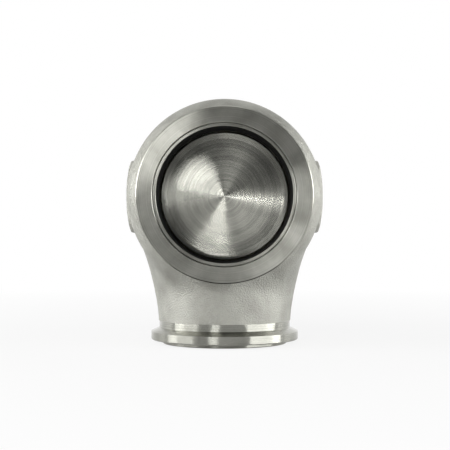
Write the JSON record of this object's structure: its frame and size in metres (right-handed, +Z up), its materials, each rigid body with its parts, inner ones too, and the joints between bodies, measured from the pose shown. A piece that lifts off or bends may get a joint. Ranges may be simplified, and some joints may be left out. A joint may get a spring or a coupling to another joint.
{
  "type": "turbo wastegate",
  "caption": "External turbo wastegate: cast stainless body with V-band inlet and side outlet, poppet valve and spring diaphragm actuator.",
  "frame": {"origin": "centre of the outlet's lip face, on the outlet's axis, where the part stands", "axes": "+Z up the outlet's axis to the valve's axis, -Y out of the inlet along the valve's axis, +Y towards the actuator, +X to the right as seen from the inlet"},
  "size_m": [0.096, 0.1605, 0.1195],
  "materials": {
    "cast_stainless": "blasted investment casting, flanges turned bright",
    "turned_stainless": "turned, concentric tool marks",
    "bronze": "machined",
    "gasket_steel": "rolled sheet",
    "anodised_aluminium": "black anodised, turned",
    "machined_aluminium": "machined",
    "plated_steel": "zinc plated",
    "spring_steel": "oiled spring wire",
    "black_steel": "black oxide",
    "diaphragm_rubber": "silicone on woven cloth",
    "seal_rubber": "moulded"
  },
  "bodies": {
    "housing": {"valve_body": "cast_stainless", "seat_ring": "turned_stainless", "valve_guide": "bronze", "stem_scraper": "bronze", "heat_gasket": "gasket_steel", "actuator_base": "anodised_aluminium", "actuator_cap": "anodised_aluminium", "port_plug": "plated_steel", "stem_seal": "seal_rubber", "snap_ring": "spring_steel", "diaphragm": "diaphragm_rubber", "outer_spring": "spring_steel", "middle_spring": "spring_steel", "inner_spring": "spring_steel", "base_screws": "black_steel", "cap_screws": "black_steel"},
    "valve": {"valve": "turned_stainless", "lower_retainer": "machined_aluminium", "upper_retainer": "machined_aluminium", "retainer_oring": "seal_rubber", "stem_washer": "plated_steel", "stem_nut": "plated_steel"}
  },
  "joints": [
    {"name": "valve_lift", "type": "slide", "parent": "housing", "child": "valve", "axis": [0, 1, 0], "range_m": [0, 0.013], "stiffness_N_per_m": 15000, "springref_m": -0.008, "deforming": ["outer_spring", "middle_spring", "inner_spring", "diaphragm"]}
  ]
}
